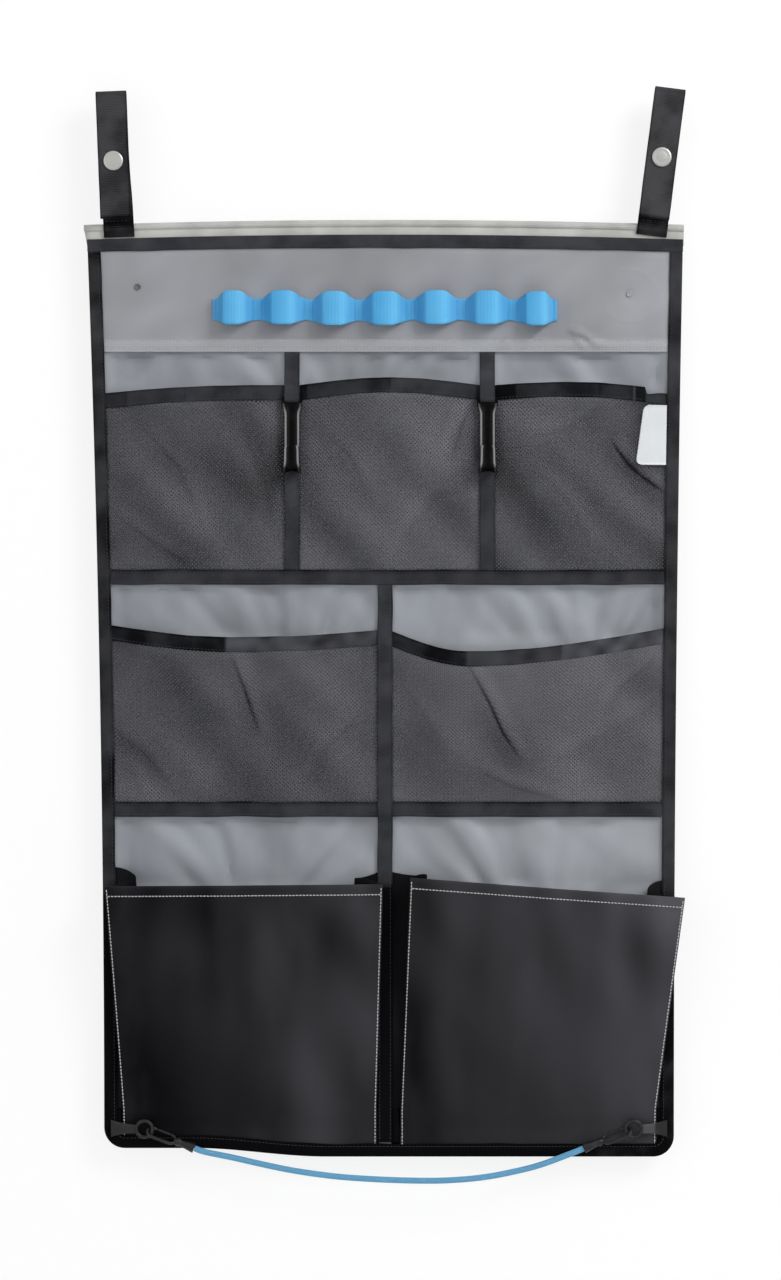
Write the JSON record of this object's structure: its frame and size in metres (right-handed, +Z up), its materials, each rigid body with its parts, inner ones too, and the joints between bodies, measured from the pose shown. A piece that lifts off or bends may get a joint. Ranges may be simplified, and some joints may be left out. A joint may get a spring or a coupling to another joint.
{
  "type": "hanging organizer",
  "caption": "Cloth organizer that hangs by a beaded welt or two snap straps, with net and gusseted pockets, tool loops, utensil hooks and a shock cord across its foot.",
  "frame": {"origin": "middle of the round bead along the top edge, halfway between the sides", "axes": "+Z up along the hanging panel, +X to the right as seen from the front, the pockets face -Y"},
  "size_m": [0.4928, 0.0287, 0.8979],
  "materials": {
    "welt": "coated cloth, finely ribbed",
    "header_cloth": "coated cloth, plain",
    "panel_cloth": "coated cloth, lightly creased",
    "black_tape": "woven grosgrain tape",
    "net": "fine diamond net",
    "blue_band": "ribbed elastic band",
    "label": "bare silver-white label",
    "hook_plastic": "moulded, satin",
    "webbing": "woven webbing",
    "nickel": "brushed nickel plate",
    "vinyl": "coated black cloth, slight sheen",
    "clip_plastic": "moulded, satin",
    "rivet": "moulded",
    "blue_cord": "braided cover"
  },
  "bodies": {
    "panel": {"back_panel": "panel_cloth", "binding_foot": "black_tape", "binding_left": "black_tape", "binding_right": "black_tape", "cross_tape_lower": "black_tape", "cross_tape_upper": "black_tape", "divider_lower": "black_tape", "divider_upper_left": "black_tape", "divider_upper_right": "black_tape", "gusset_left_inner": "vinyl", "gusset_left_outer": "vinyl", "gusset_right_inner": "vinyl", "gusset_right_outer": "vinyl", "header_panel": "header_cloth", "header_rivet_left": "rivet", "header_rivet_right": "rivet", "hook_loop_left": "black_tape", "hook_loop_right": "black_tape", "keder_core": "welt", "keder_welt": "welt", "label": "label", "net_lower_left": "net", "net_lower_right": "net", "net_upper_left": "net", "net_upper_middle": "net", "net_upper_right": "net", "pocket_foot_left": "vinyl", "pocket_foot_right": "vinyl", "ring_tab_left": "clip_plastic", "ring_tab_right": "clip_plastic", "snap_stud_left": "nickel", "snap_stud_right": "nickel", "strap_fold_left": "webbing", "strap_fold_right": "webbing", "strap_leg_left": "webbing", "strap_leg_right": "webbing", "tool_loop_band": "blue_band", "top_tape_front": "black_tape", "top_tape_rear": "black_tape", "trim_lower_left": "black_tape", "trim_lower_right": "black_tape", "trim_upper_left": "black_tape", "trim_upper_middle": "black_tape", "trim_upper_right": "black_tape"},
    "strap_flap_left": {"strap_flap_left": "webbing", "snap_cap_left": "nickel", "snap_socket_left": "nickel"},
    "strap_flap_right": {"strap_flap_right": "webbing", "snap_cap_right": "nickel", "snap_socket_right": "nickel"},
    "utensil_hook_left": {"utensil_hook_left": "hook_plastic"},
    "utensil_hook_right": {"utensil_hook_right": "hook_plastic"},
    "shock_cord": {"shock_cord": "blue_cord", "clip_body_left": "clip_plastic", "clip_body_right": "clip_plastic"},
    "clip_gate_left": {"clip_gate_left": "clip_plastic"},
    "clip_gate_right": {"clip_gate_right": "clip_plastic"},
    "pocket_front_left": {"pocket_front_left": "vinyl"},
    "pocket_front_right": {"pocket_front_right": "vinyl"}
  },
  "joints": [
    {"name": "strap_flap_swing_left", "type": "hinge", "parent": "panel", "child": "strap_flap_left", "pos_m": [-0.22487, -0.0073, 0.10352], "axis": [-0.9992, 0, -0.0393], "range_deg": [0, 170], "deforming": ["strap_fold_left"]},
    {"name": "strap_flap_swing_right", "type": "hinge", "parent": "panel", "child": "strap_flap_right", "pos_m": [0.2322, -0.0073, 0.10613], "axis": [-0.9919, 0, 0.1271], "range_deg": [0, 170], "deforming": ["strap_fold_right"]},
    {"name": "utensil_hook_swing_left", "type": "hinge", "parent": "panel", "child": "utensil_hook_left", "pos_m": [-0.077, -0.0062, -0.1441], "axis": [-1, 0, 0], "range_deg": [0, 100]},
    {"name": "utensil_hook_swing_right", "type": "hinge", "parent": "panel", "child": "utensil_hook_right", "pos_m": [0.083, -0.0062, -0.1441], "axis": [-1, 0, 0], "range_deg": [0, 100]},
    {"name": "pocket_mouth_left", "type": "hinge", "parent": "panel", "child": "pocket_front_left", "pos_m": [-0.11172, -0.0041, -0.7255], "axis": [1, 0, 0], "range_deg": [-4.5, 7.5], "deforming": ["gusset_left_outer", "gusset_left_inner"]},
    {"name": "pocket_mouth_right", "type": "hinge", "parent": "panel", "child": "pocket_front_right", "pos_m": [0.11671, -0.0041, -0.7255], "axis": [1, 0, 0], "range_deg": [-4.5, 7.5], "deforming": ["gusset_right_outer", "gusset_right_inner"]},
    {"name": "shock_cord_swing", "type": "hinge", "parent": "panel", "child": "shock_cord", "pos_m": [0.0025, -0.00807, -0.74377], "axis": [-1, 0, 0], "range_deg": [0, 80]},
    {"name": "clip_gate_press_left", "type": "hinge", "parent": "shock_cord", "child": "clip_gate_left", "pos_m": [-0.17751, -0.00465, -0.74582], "axis": [0.2663, -0.6691, 0.6938], "range_deg": [0, 24], "stiffness_Nm_per_rad": 0.002, "springref_deg": -5.73},
    {"name": "clip_gate_press_right", "type": "hinge", "parent": "shock_cord", "child": "clip_gate_right", "pos_m": [0.18251, -0.00465, -0.74582], "axis": [0.2663, 0.6691, -0.6938], "range_deg": [0, 24], "stiffness_Nm_per_rad": 0.002, "springref_deg": -5.73}
  ]
}
